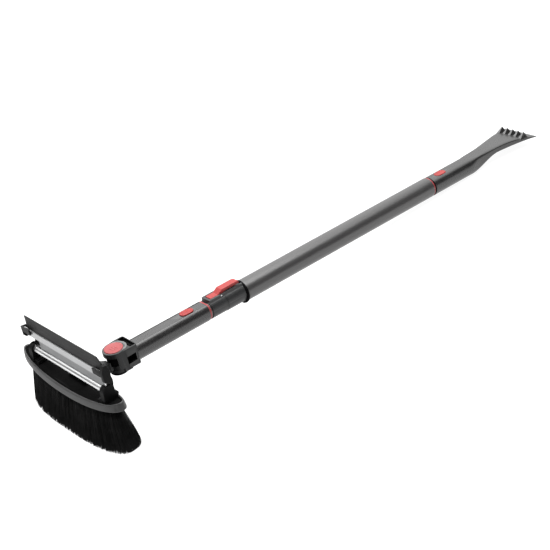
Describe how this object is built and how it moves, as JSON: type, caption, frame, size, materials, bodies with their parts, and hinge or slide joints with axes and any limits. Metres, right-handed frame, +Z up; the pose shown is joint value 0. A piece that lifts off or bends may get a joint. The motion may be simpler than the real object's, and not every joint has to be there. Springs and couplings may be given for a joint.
{
  "type": "telescopic snow brush",
  "caption": "Telescopic snow brush with a swinging brush head, an aluminium squeegee and an ice scraper on the far end of the pole.",
  "frame": {"origin": "bottom centre of the bounding box, on the surface the brush lies on", "axes": "+X along the pole from the brush head to the scraper, +Y across the brush head, +Z up, away from the bristles"},
  "size_m": [0.995, 0.246, 0.143],
  "materials": {
    "grey_plastic": "moulded satin, fine grain",
    "dark_plastic": "moulded satin anthracite",
    "black_plastic": "moulded satin black",
    "tube_paint": "satin anthracite powder coat on aluminium tube",
    "aluminium": "satin extruded aluminium",
    "red_plastic": "moulded red, low gloss",
    "blade_rubber": "matt black rubber",
    "bristle_fibre": "black flagged synthetic bristles",
    "steel": "plain steel"
  },
  "bodies": {
    "handle": {"outer_tube": "tube_paint", "collar_front": "dark_plastic", "collar_rear": "dark_plastic", "collar_ring": "black_plastic", "lever_pin": "steel", "lever_spring": "steel", "scraper_seal": "red_plastic", "scraper_spigot": "black_plastic", "scraper_body": "grey_plastic", "scraper_button_spring": "steel"},
    "extension": {"inner_pole": "aluminium", "pole_bush": "black_plastic", "neck_tube": "grey_plastic", "neck_seal": "red_plastic", "neck_button_spring": "steel", "pivot_housing": "dark_plastic", "pivot_axle": "steel", "pivot_cap": "black_plastic", "pivot_ring": "dark_plastic", "pivot_spring": "steel"},
    "brush_head": {"block_rim": "grey_plastic", "brush_block": "black_plastic", "bristles": "bristle_fibre", "bracket_left": "dark_plastic", "bracket_right": "dark_plastic", "bracket_screws": "steel", "squeegee_rail": "aluminium", "squeegee_rubber": "blade_rubber", "rail_cap_left": "dark_plastic", "rail_cap_right": "dark_plastic", "head_arm": "dark_plastic", "arm_screws": "steel", "knuckle_drum": "black_plastic"},
    "release_button": {"pivot_button": "red_plastic", "lock_gear": "black_plastic"},
    "neck_latch_button": {"neck_button": "red_plastic"},
    "latch_rocker": {"latch_lever": "red_plastic"},
    "scraper_latch_button": {"scraper_button": "red_plastic"}
  },
  "joints": [
    {"name": "pole_slide", "type": "slide", "parent": "handle", "child": "extension", "axis": [-0.9986, 0, 0.0537], "range_m": [0, 0.35]},
    {"name": "head_swing", "type": "hinge", "parent": "extension", "child": "brush_head", "pos_m": [-0.39354, 0, 0.057], "axis": [0, 0, 1], "range_deg": [-35, 35]},
    {"name": "release_press", "type": "slide", "parent": "extension", "child": "release_button", "axis": [0, 0, -1], "range_m": [0, 0.0028], "stiffness_N_per_m": 900, "springref_m": -0.003, "deforming": ["pivot_spring"]},
    {"name": "neck_button_press", "type": "slide", "parent": "extension", "child": "neck_latch_button", "axis": [-0.0537, 0, -0.9986], "range_m": [0, 0.002], "stiffness_N_per_m": 700, "springref_m": -0.003, "deforming": ["neck_button_spring"]},
    {"name": "latch_press", "type": "hinge", "parent": "handle", "child": "latch_rocker", "pos_m": [-0.20389, 0, 0.06394], "axis": [0, 1, 0], "range_deg": [0, 5], "stiffness_Nm_per_rad": 1.2, "springref_deg": -6.88, "deforming": ["lever_spring"]},
    {"name": "scraper_button_press", "type": "slide", "parent": "handle", "child": "scraper_latch_button", "axis": [-0.0537, 0, -0.9986], "range_m": [0, 0.002], "stiffness_N_per_m": 700, "springref_m": -0.003, "deforming": ["scraper_button_spring"]}
  ]
}
